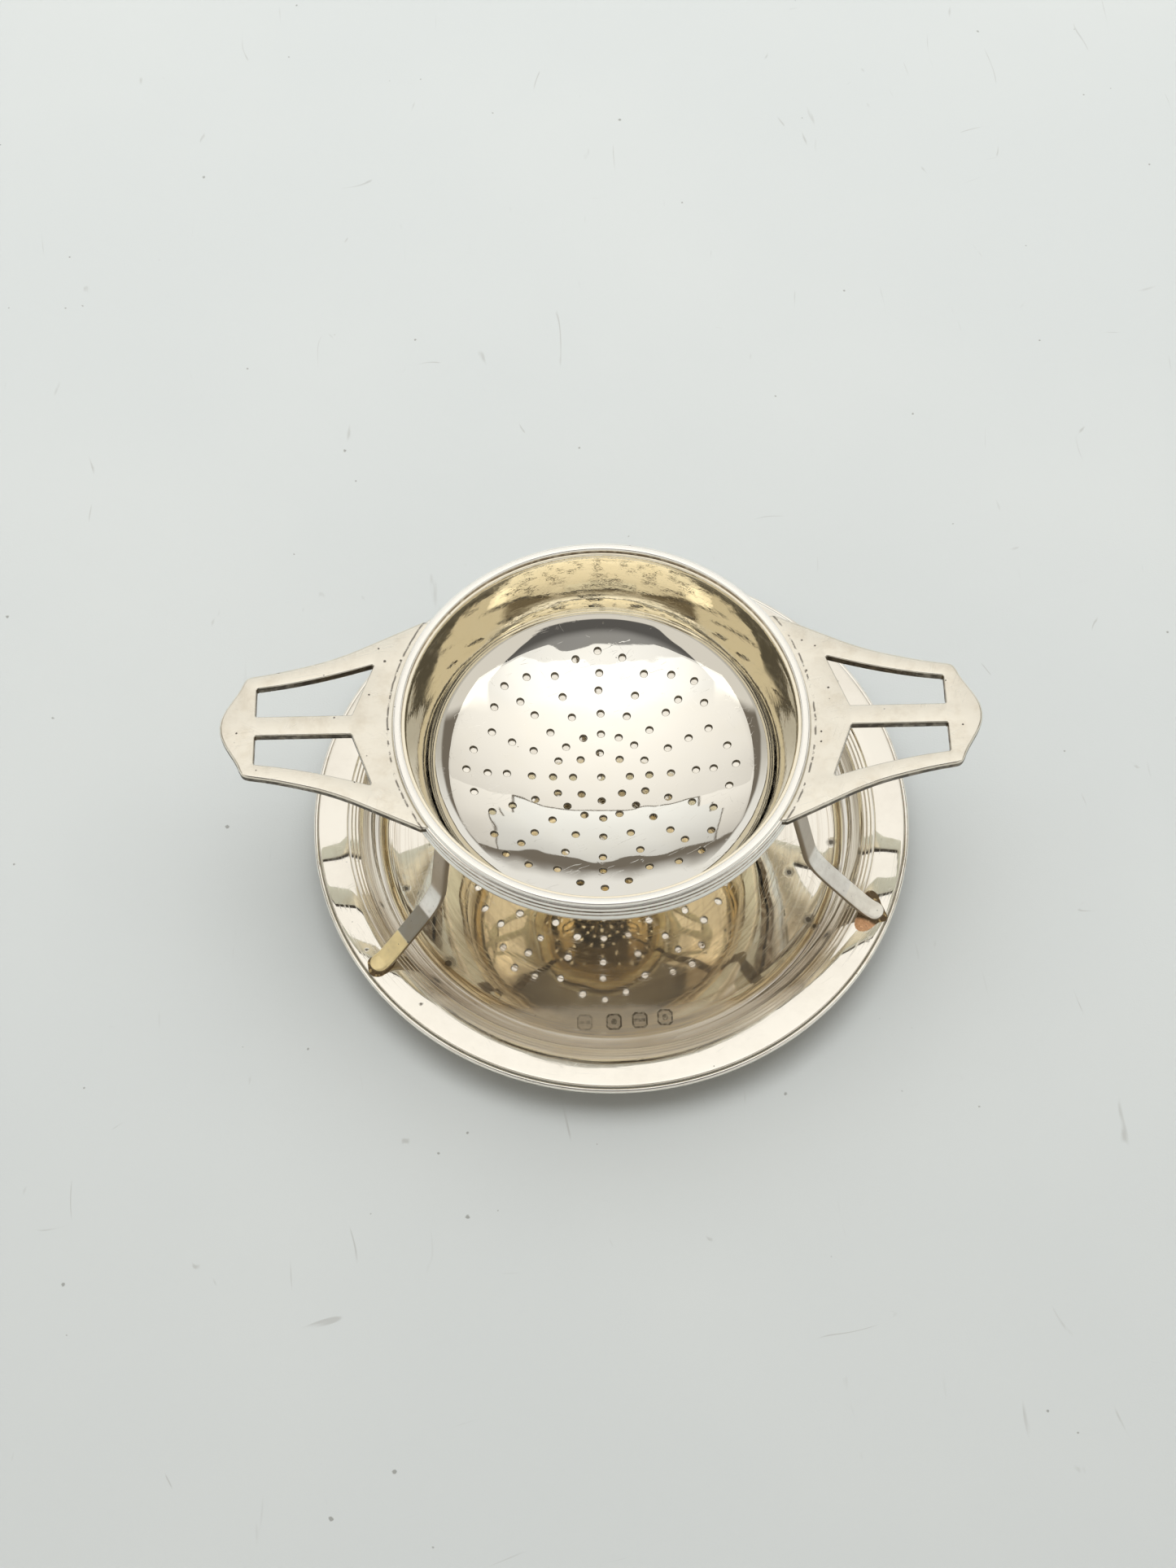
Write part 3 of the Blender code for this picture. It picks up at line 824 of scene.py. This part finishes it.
def silver(g, p, clean, stain_and_shade_colour, stain_and_shade, roughness, pits_and_shade, scratches, fine_bump, wave=0.0012,
           film=0.0):
    """Old silver: a clean colour, a darker film over it, brightness rubbed dull in patches, pitting
    and scratches; some materials pass painted shade in with the film and the pitting.
    """
    smear = g.noise(p["at"], 0.16, 3.0, 0.6)
    colour = g.mix(stain_and_shade, clean, stain_and_shade_colour)
    colour = g.mix(g.mul(pits_and_shade, 0.85), colour, PIT_AND_SHADE_BLACK)
    rough = g.add(roughness, g.mul(g.step(smear, 0.45, 0.8), 0.8 * roughness))
    rough = g.add(rough, g.mul(scratches, 0.12))
    rough = g.add(rough, g.mul(stain_and_shade, 0.02))
    rough = g.add(rough, g.mul(pits_and_shade, 0.2))
    slow = g.noise(p["at"], 0.11, 1.5, 0.4)
    swell = g.bump(slow, wave * 30.0)
    height = g.sub(g.mul(fine_bump, 0.25), g.add(scratches, g.mul(pits_and_shade, 3.0)))
    normal = g.bump(height, 0.006, swell)
    g.set(Metallic=1.0 if film == 0.0 else g.flip(g.mul(stain_and_shade, film)), Base_Color=colour,
          Roughness=rough, Normal=normal)
    return g.material


def cup_material():
    g = Graph("cup_silver")
    p = g.place(STRAINER_X)
    wall = g.step(p["z"], DISH_Z + 6.0, DISH_Z + 9.0)
    lines = g.top(g.hairlines(p, 24, 0.011, 0.46, 3.0), g.hairlines(p, -52, 0.009, 0.4, 8.0))
    round_marks = g.turned(p, 7.0, 1.5)
    pits_and_shade = g.scattered(p, 0.5, 0.1, 0.1, 5.0)
    veil = g.step(g.noise(p["at"], 0.2, 4.0, 0.6), 0.42, 0.8)
    stain_and_shade = g.add(g.mul(wall, 0.75), g.mul(veil, 0.12))
    # painted shade: the bores and rolled edges of the holes are darkened towards near-black
    bore_shade = g.mul(g.step(flatness(g), 0.72, 0.92, 1.0, 0.0),
                 g.step(p["r"], DISH_R - 0.9, DISH_R - 0.6, 1.0, 0.0))
    pits_and_shade = g.top(pits_and_shade, g.mul(bore_shade, 0.92))
    gold = g.mix(facing_down(g), CUP_GILT, CUP_UNDER)
    stain_and_shade = g.top(stain_and_shade, g.mul(facing_down(g), 0.75))
    planished = g.mul(g.mul(wall, g.turned(p, 0.9, 11.0, 3.0, 2.0)), 11.0)
    return silver(g, p, CUP_SILVER, gold, stain_and_shade, 0.012, pits_and_shade, g.mul(lines, 0.5),
                  g.add(g.mul(round_marks, 0.2), planished), 0.004)


def moulding_material():
    g = Graph("moulding_silver")
    p = g.place(STRAINER_X)
    depth = g.sub(RIM_TOP, p["z"])
    grooves = 0.0
    for place in GROOVES:
        away = g.math("ABSOLUTE", g.sub(depth, place))
        outside = g.step(p["r"], RIM_R - 0.6, RIM_R - 0.3)
        grooves = g.top(grooves, g.mul(g.step(away, 0.05, 0.24, 1.0, 0.0), outside))
    inner_line = g.mul(g.step(p["r"], 30.3, 30.45, 1.0, 0.0), g.step(depth, 0.25, 0.45))
    dirt = g.top(grooves, inner_line)
    broken = g.step(g.noise(p["at"], 0.9, 3.0), 0.25, 0.6)
    stain_and_shade = g.mul(dirt, g.add(0.45, g.mul(broken, 0.55)))
    lines = g.hairlines(p, 40, 0.012, 0.42, 2.0)
    material = silver(g, p, MOULDING_SILVER, GROOVE_DIRT, stain_and_shade, 0.1,
                      g.scattered(p, 0.6, 0.12, 0.1, 3.0), lines, g.turned(p, 4.0), 0.001)
    g.set(Metallic=0.8)
    return material


def handle_material(seed):
    g = Graph("handle_silver")
    p = g.place(STRAINER_X)
    # painted shade: the plate's upright edges and the walls of its openings get a very dark colour
    side_shade = g.step(flatness(g), 0.15, 0.5, 1.0, 0.0)
    where = p["at"]
    seam = g.step(g.math("ABSOLUTE", g.sub(p["r"], g.add(RIM_R + 0.05, g.mul(
        g.noise(where, 0.4, 2.0), 0.4)))), 0.07, 0.2, 1.0, 0.0)
    seam = g.mul(seam, g.step(g.noise(where, 0.55, 4.0, 0.7), 0.44, 0.52))
    lines = g.top(g.hairlines(p, 12 + seed, 0.014, 0.5, 3.0 + seed),
                  g.top(g.hairlines(p, 71, 0.011, 0.45, 8.0 + seed),
                        g.hairlines(p, -33, 0.011, 0.45, 5.0 + seed)))
    veil = g.step(g.noise(where, 0.28, 4.0, 0.65), 0.4, 0.8)
    stain_and_shade = g.add(g.mul(side_shade, 0.75), g.mul(veil, 0.3))
    tarnish_and_shade = g.mix(side_shade, HANDLE_VEIL, HANDLE_SIDE_SHADE)
    # painted shade on those edges, broken into patches
    broken_side_shade = g.mul(side_shade, g.step(g.noise(where, 0.8, 3.0), 0.35, 0.6, 0.25, 0.95))
    pits_and_shade = g.top(g.top(g.mul(seam, 0.85), broken_side_shade),
                 g.top(g.scattered(p, 0.6, 0.2, 0.3, 2.0 + seed),
                       g.scattered(p, 0.3, 0.3, 0.2, 6.0 + seed)))
    return silver(g, p, HANDLE_SILVER, tarnish_and_shade, stain_and_shade, 0.16, pits_and_shade, g.mul(lines, 0.9),
                  g.noise(where, 5.0, 2.0), 0.001)


def bowl_material():
    g = Graph("bowl_silver")
    p = g.place(0.0)
    flange = g.step(p["r"], *FLANGE_R)
    lower = g.flip(flange)
    round_marks = g.turned(p, 5.5, 1.9)
    bands = g.turned(p, 1.1, 0.9, 3.0, 7.0)
    veil = g.step(g.noise(p["at"], 0.1, 5.0, 0.62), 0.35, 0.75)
    wall_rings = g.mul(g.step(p["r"], *WALL_IN_R), g.step(p["r"], *WALL_OUT_R, 1.0, 0.0))
    wavy = g.mul(g.sub(g.noise(g.vector(p["x"], p["y"], 0.0), 0.15, 3.0), 0.5), 8.0)
    kept_clean = g.step(g.add(p["y"], wavy), *CLEAN_Y, 1.0, 0.1)
    streaks = g.mul(g.step(g.turned(p, 2.6, 0.8, 5.0, 11.0), 0.5, 0.6), wall_rings)
    front = g.step(g.add(p["y"], g.mul(wavy, 0.3)), *FRONT_Y, 1.0, 0.0)
    stain_and_shade = g.mul(g.mul(lower, kept_clean), g.add(0.31, g.mul(veil, 0.33)))
    stain_and_shade = g.add(stain_and_shade, g.mul(g.mul(lower, front), 0.2))
    stain_and_shade = g.add(stain_and_shade, g.mul(g.mul(lower, g.step(bands, 0.45, 0.7)), 0.2))
    stain_and_shade = g.add(stain_and_shade, g.mul(streaks, 0.5))
    edge = g.step(p["r"], *EDGE_R)
    stain_and_shade = g.math("ADD", stain_and_shade, g.add(g.mul(edge, 0.6), g.mul(flange, g.mul(veil, 0.12))),
                   clamp=True)
    wiped = g.mul(g.step(round_marks, 0.56, 0.7), 0.5)
    marks = 0.0
    for x, y, radius in BOWL_PITS:
        dx, dy = g.sub(p["x"], x), g.sub(p["y"], y)
        away = g.math("SQRT", g.add(g.mul(dx, dx), g.mul(dy, dy)))
        away = g.add(away, g.mul(g.sub(g.noise(g.vector(dx, dy, radius), 2.4, 2.0), 0.5), 0.5))
        halo = g.step(away, radius, 2.1 * radius, 0.45, 0.0)
        marks = g.top(marks, g.top(halo, g.step(away, 0.6 * radius, radius, 1.0, 0.0)))
    for k, (x, y, depth) in enumerate(PUNCHES):
        u = g.math("ABSOLUTE", g.mul(g.sub(p["x"], x), 1.0 / PUNCH_SIZE[0]))
        v = g.math("ABSOLUTE", g.mul(g.sub(p["y"], y), 1.0 / PUNCH_SIZE[1]))
        box = g.top(g.top(u, v), g.mul(g.add(u, v), 0.62))
        inside = g.step(box, 0.86, 1.0, 1.0, 0.0)
        motif = (g.math("SQRT", g.add(g.mul(u, u), g.mul(v, v))) if k % 2
                 else g.top(g.mul(u, 0.55), g.mul(v, 2.0)))
        border = g.step(g.math("ABSOLUTE", g.sub(box, 0.88)), 0.07, 0.16, 1.0, 0.0)
        inner = g.top(g.mul(inside, 0.3), g.step(motif, 0.34, 0.46, 0.85, 0.0))
        rub = g.step(g.noise(g.vector(p["x"], p["y"], k + 0.5), 1.7, 3.0), 0.3, 0.6, 0.45, 1.0)
        marks = g.top(marks, g.mul(g.mul(g.top(border, inner), rub), depth))
    lines = g.top(g.hairlines(p, 33, 0.012, 0.42, 1.0), g.hairlines(p, -61, 0.01, 0.4, 6.0))
    pits_and_shade = g.top(g.scattered(p, 0.3, 0.2, 0.12, 9.0), g.scattered(p, 0.8, 0.1, 0.08, 4.0))
    pits_and_shade = g.top(pits_and_shade, marks)
    tarnish_and_shade = g.mix(front, BOWL_TARNISH, BOWL_FRONT_FILM)
    return silver(g, p, BOWL_SILVER, tarnish_and_shade, stain_and_shade, 0.022, pits_and_shade,
                  g.mul(g.top(g.mul(lines, 0.8), wiped), 0.35), g.mul(round_marks, 0.25),
                  0.002, g.add(0.28, g.mul(front, 0.5)))


def wire_material():
    g = Graph("edge_wire_silver")
    p = g.place(0.0)
    veil = g.step(g.noise(p["at"], 0.5, 4.0, 0.6), 0.45, 0.8)
    under = g.step(p["z"], FLANGE_TOP - 1.1, FLANGE_TOP - 0.6, 1.0, 0.0)
    stain_and_shade = g.add(g.mul(veil, 0.3), g.mul(under, 0.35))
    return silver(g, p, WIRE_SILVER, WIRE_TARNISH, stain_and_shade, 0.07,
                  g.scattered(p, 0.7, 0.12, 0.15, 2.0), g.hairlines(p, 10, 0.012, 0.45, 2.0),
                  g.turned(p, 3.0), 0.001)


def arm_material(which):
    """The left strap is yellowed at the foot and greyed above it; the others are cleaner."""
    g = Graph("arm_silver_" + which)
    p = g.place(0.0)
    where = p["at"]
    veil = g.step(g.noise(where, 0.45, 5.0, 0.65), 0.35, 0.75)
    yellow = g.step(p["r"], *ARM_YELLOW_R)
    grey = g.mul(g.step(p["r"], *ARM_GREY_R), g.flip(yellow))
    amount = ARM_STAINED[which]
    tint = g.mix(g.mul(grey, 0.9 * amount), ARM_SILVER, ARM_GREY)
    tint = g.mix(g.mul(yellow, 0.9 * amount), tint, ARM_YELLOW)
    # painted shade: the strap's sides and underside are darkened by the way they face
    edge_shade = g.step(flatness(g), 0.12, 0.42, 0.85, 0.0)
    stain_and_shade = g.top(g.mul(veil, 0.25), g.top(edge_shade, g.mul(facing_down(g), 0.85)))
    blotch = g.mul(g.scattered(p, 0.8, 0.28, 0.5, 2.0), g.step(veil, 0.1, 0.6))
    pits_and_shade = g.top(g.mul(blotch, g.add(0.15, g.mul(grey, amount))),
                 g.scattered(p, 1.4, 0.1, 0.25, 6.0))
    material = silver(g, p, tint, ARM_DIRT_AND_SHADE, stain_and_shade, ARM_ROUGHNESS[which], pits_and_shade,
                      g.hairlines(p, 60, 0.016, 0.6, 3.0), g.noise(where, 2.5, 3.0), 0.001)
    g.set(Metallic=SATIN)
    return material


def solder_material(which):
    g = Graph("solder_" + which)
    p = g.place(0.0)
    where = p["at"]
    crust = g.step(g.noise(where, 1.6, 5.0, 0.7, 0.4), 0.44, 0.6)
    angle = math.radians(ARM_ANGLES[which])
    aside = g.sub(g.mul(p["y"], math.cos(angle)), g.mul(p["x"], math.sin(angle)))
    far = g.step(aside, -0.6, 0.2)
    flecks = g.step(g.noise(where, 1.1, 3.0, 0.6), 0.56, 0.64)
    burnt_and_shadow = g.mix(g.mul(flecks, 0.8), SOLDER_BURNT_AND_SHADOW, SOLDER_GOLD)
    specks = g.scattered(p, 0.9, 0.16, 0.5, 3.0)
    colour = g.mix(g.top(g.mul(specks, 0.9), g.mul(crust, 0.22)), SOLDER_CLEAN[which],
                   SOLDER_RUST)
    # painted shadow: the solder is darkened in a band beside the strap
    arm_shadow = g.step(g.math("ABSOLUTE", aside), 0.5 * ARM_WIDTH + 0.15, 0.5 * ARM_WIDTH + 0.7,
                     1.0, 0.0)
    colour = g.mix(g.top(far, arm_shadow), colour, burnt_and_shadow)
    normal = g.bump(g.noise(where, 2.2, 4.0, 0.6), 0.2)
    g.set(Metallic=0.6, Base_Color=colour, Roughness=g.add(0.26, g.mul(crust, 0.25)),
          Normal=normal)
    return g.material


def floor_material():
    """A pale painted board with specks, hairlines and a slight sheen."""
    g = Graph("pale_floor")
    p = g.place(0.0)
    where = p["at"]
    cloud = g.noise(where, 0.012, 3.0, 0.5)
    grain = g.noise(where, 3.2, 3.0, 0.7)
    specks = g.top(g.scattered(p, 0.1, 0.42, 0.3, 3.0), g.scattered(p, 0.2, 0.26, 0.25, 8.0))
    lines = g.top(g.hairlines(p, 95, 0.0055, 0.38, 1.0, 0.02, 0.08),
                  g.hairlines(p, 15, 0.0034, 0.34, 5.0, 0.02, 0.08))
    colour = g.mix(g.step(cloud, 0.35, 0.7), FLOOR_COOL, FLOOR_WARM)
    colour = g.mix(g.mul(g.step(grain, 0.5, 0.8), 0.1), colour, FLOOR_GRAIN)
    colour = g.mix(g.mul(specks, 0.75), colour, FLOOR_SPECK)
    colour = g.mix(g.mul(lines, 0.55), colour, FLOOR_LINE)
    g.set(Base_Color=colour, Roughness=g.add(0.5, g.mul(grain, 0.15)),
          Normal=g.bump(grain, 0.02), Emission_Color=FLOOR_GLOW,
          Emission_Strength=g.step(p["r"], FLOOR_LIFT_FROM, FLOOR_LIFT_TO, 0.0, 0.5))
    return g.material


# ---- assembly, light and camera --------------------------------------------------
ROOM_BRIGHT, ROOM_SIDE, ROOM_LOW = (0.82, 0.81, 0.79), (0.7, 0.67, 0.62), (0.5, 0.48, 0.44)
ROOM_FAR, ROOM_VIEWER = (0.17, 0.148, 0.122), (0.1, 0.096, 0.093)
ROOM_VIEWER_TOP = (0.3, 0.295, 0.29)
WARM, COOL = (1.0, 0.99, 0.965), (0.97, 1.0, 1.01)
OVER, EDGE, FILL, BACK, SIDE = 0.525, 0.36, 1.8, 0.64, 0.66   # radiance of the panels
NARROW_SPREAD, FULL_SPREAD = 130.0, 180.0   # degrees

LENS, SENSOR = 58.59, 36.0                  # mm
CLIP_NEAR, CLIP_FAR = 0.01, 20.0            # metres
CAMERA_PLACE = (-6.03, -192.49, 374.17)     # mm
CAMERA_TARGET = (-3.86, -11.51, RIM_TOP)
CAMERA_ROLL = -0.57                         # degrees


def dress(obj, material):
    """Give an object its one material."""
    obj.data.materials.append(material)
    return obj


def build_object():
    """All twelve pieces, each in place of its CAD node."""
    cup = dress(make_mesh("cup", *build_cup(), "strainer", "strainer_cup_silver",
                          "strainer_cup", 38.0, STRAINER_X), cup_material())
    set_dish_normals(cup)
    dress(make_mesh("rim_moulding", *revolve(moulding_profile(), AROUND, False), "strainer",
                    "strainer_rim_moulding_silver", "strainer_rim_moulding", 40.0,
                    STRAINER_X), moulding_material())
    for side, name in ((-1, "left"), (1, "right")):
        node = "strainer_handle_" + name
        dress(make_mesh("handle_" + name, *build_handle(side), "strainer", node + "_silver",
                        node, 50.0, STRAINER_X), handle_material(3.0 if side > 0 else 0.0))
    dress(make_mesh("bowl", *revolve(bowl_profile(), AROUND, True), "stand",
                    "drip_bowl_silver", "drip_bowl", 30.0), bowl_material())
    dress(make_mesh("edge_wire", *revolve(wire_profile(), AROUND, False), "stand",
                    "drip_bowl_edge_wire_silver", "drip_bowl_edge_wire", 60.0),
          wire_material())
    for which in ARM_ANGLES:
        node = "support_arm_" + which
        dress(make_mesh("arm_" + which, *build_arm(which), "stand", node + "_silver", node,
                        50.0), arm_material(which))
        node = "arm_solder_" + which
        dress(make_mesh("solder_" + which, *build_solder(which), "stand", node + "_silver",
                        node, 60.0), solder_material(which))


def build_stage():
    """A round pale floor, and the room and its lights."""
    mesh = bpy.data.meshes.new("floor")
    mesh.from_pydata(ring(FLOOR_R, 0.0, AROUND), [], [tuple(range(AROUND))])
    floor = bpy.data.objects.new("floor", mesh)
    bpy.context.scene.collection.objects.link(floor)
    dress(floor, floor_material())

    build_room()


def build_room():
    """A dim room, lighter low down, with broad soft panels overhead."""
    world = bpy.data.worlds.new("room")
    world.use_nodes = True
    g = Nodes(world.node_tree)
    coords = g.tree.nodes.new("ShaderNodeTexCoord")
    split = g.tree.nodes.new("ShaderNodeSeparateXYZ")
    g.put(split.inputs[0], coords.outputs["Generated"])
    ahead, height = split.outputs[1], split.outputs[2]
    low = g.add(g.mul(ahead, -0.12), height)
    aside = g.step(g.math("ABSOLUTE", split.outputs[0]), 0.38, 0.48)
    shifted = g.add(g.mul(aside, -0.22), height)
    viewer = g.mix(g.step(height, 0.88, 0.995), ROOM_VIEWER, ROOM_VIEWER_TOP)
    near_side = g.mix(g.step(shifted, 0.66, 0.72), ROOM_SIDE, viewer)
    upper = g.mix(g.step(ahead, 0.1, 0.22), near_side, ROOM_FAR)
    lower = g.mix(g.step(ahead, 0.35, 0.75), ROOM_LOW, ROOM_BRIGHT)
    lower = g.mix(g.step(low, 0.12, 0.27), ROOM_BRIGHT, lower)
    g.put(g.tree.nodes["Background"].inputs[0], g.mix(g.step(low, 0.38, 0.46), lower, upper))
    bpy.context.scene.world = world

    high = PANEL_HEIGHT
    wide, seam = 0.85 * high, 0.004 * high
    front, joint, strip, back = -0.02 * high, 0.76 * high, 0.08 * high, 1.3 * high
    panels = [
        ("panel_over", -wide, wide, front, joint, OVER, WARM, True),
        ("panel_edge", -wide, wide, front - 0.05 * high, front, EDGE, WARM, True),
        ("panel_fill", -wide, wide, front - 0.14 * high, back - 0.1 * high, FILL, COOL, False),
    ]
    for k in range(3):
        y0 = joint + 2.0 * seam + k * strip
        y1 = back if k == 2 else y0 + strip
        half = (0.43 + 0.06 * k) * high
        y2 = y0 if k else joint
        panels += [(f"panel_back_{k}", seam - half, half - seam, y0, y1, BACK, COOL, True),
                   (f"panel_left_{k}", -wide, -half - seam, y2, y1, SIDE, WARM, True),
                   (f"panel_right_{k}", half + seam, wide, y2, y1, SIDE, WARM, True)]
    for name, x0, x1, y0, y1, radiance, colour, seen in panels:
        data = bpy.data.lights.new(name, "AREA")
        data.shape = "RECTANGLE"
        data.size, data.size_y = x1 - x0, y1 - y0
        data.energy = radiance * math.pi * data.size * data.size_y
        data.color = colour
        data.spread = math.radians(NARROW_SPREAD if seen else FULL_SPREAD)
        light = bpy.data.objects.new(name, data)
        light.location = (0.5 * (x0 + x1), 0.5 * (y0 + y1), high if seen else 1.05 * high)
        light.visible_glossy = seen
        data.cycles.use_multiple_importance_sampling = seen
        bpy.context.scene.collection.objects.link(light)


def build_camera():
    """The camera of the main view, from the front and above."""
    data = bpy.data.cameras.new("camera")
    data.lens, data.sensor_width, data.sensor_fit = LENS, SENSOR, "AUTO"
    data.clip_start, data.clip_end = CLIP_NEAR, CLIP_FAR
    camera = bpy.data.objects.new("camera", data)
    place = Vector(CAMERA_PLACE) * MM
    target = Vector(CAMERA_TARGET) * MM
    roll = math.radians(CAMERA_ROLL)
    ahead = (target - place).normalized()
    right = ahead.cross(Vector((0, 0, 1))).normalized()
    up = right.cross(ahead)
    right, up = (right * math.cos(roll) + up * math.sin(roll),
                 up * math.cos(roll) - right * math.sin(roll))
    turn = Matrix((right, up, -ahead)).transposed().to_4x4()
    camera.matrix_world = Matrix.Translation(place) @ turn
    bpy.context.scene.collection.objects.link(camera)
    bpy.context.scene.camera = camera


build_object()
build_stage()
build_camera()
bpy.context.scene.view_settings.view_transform = "Standard"
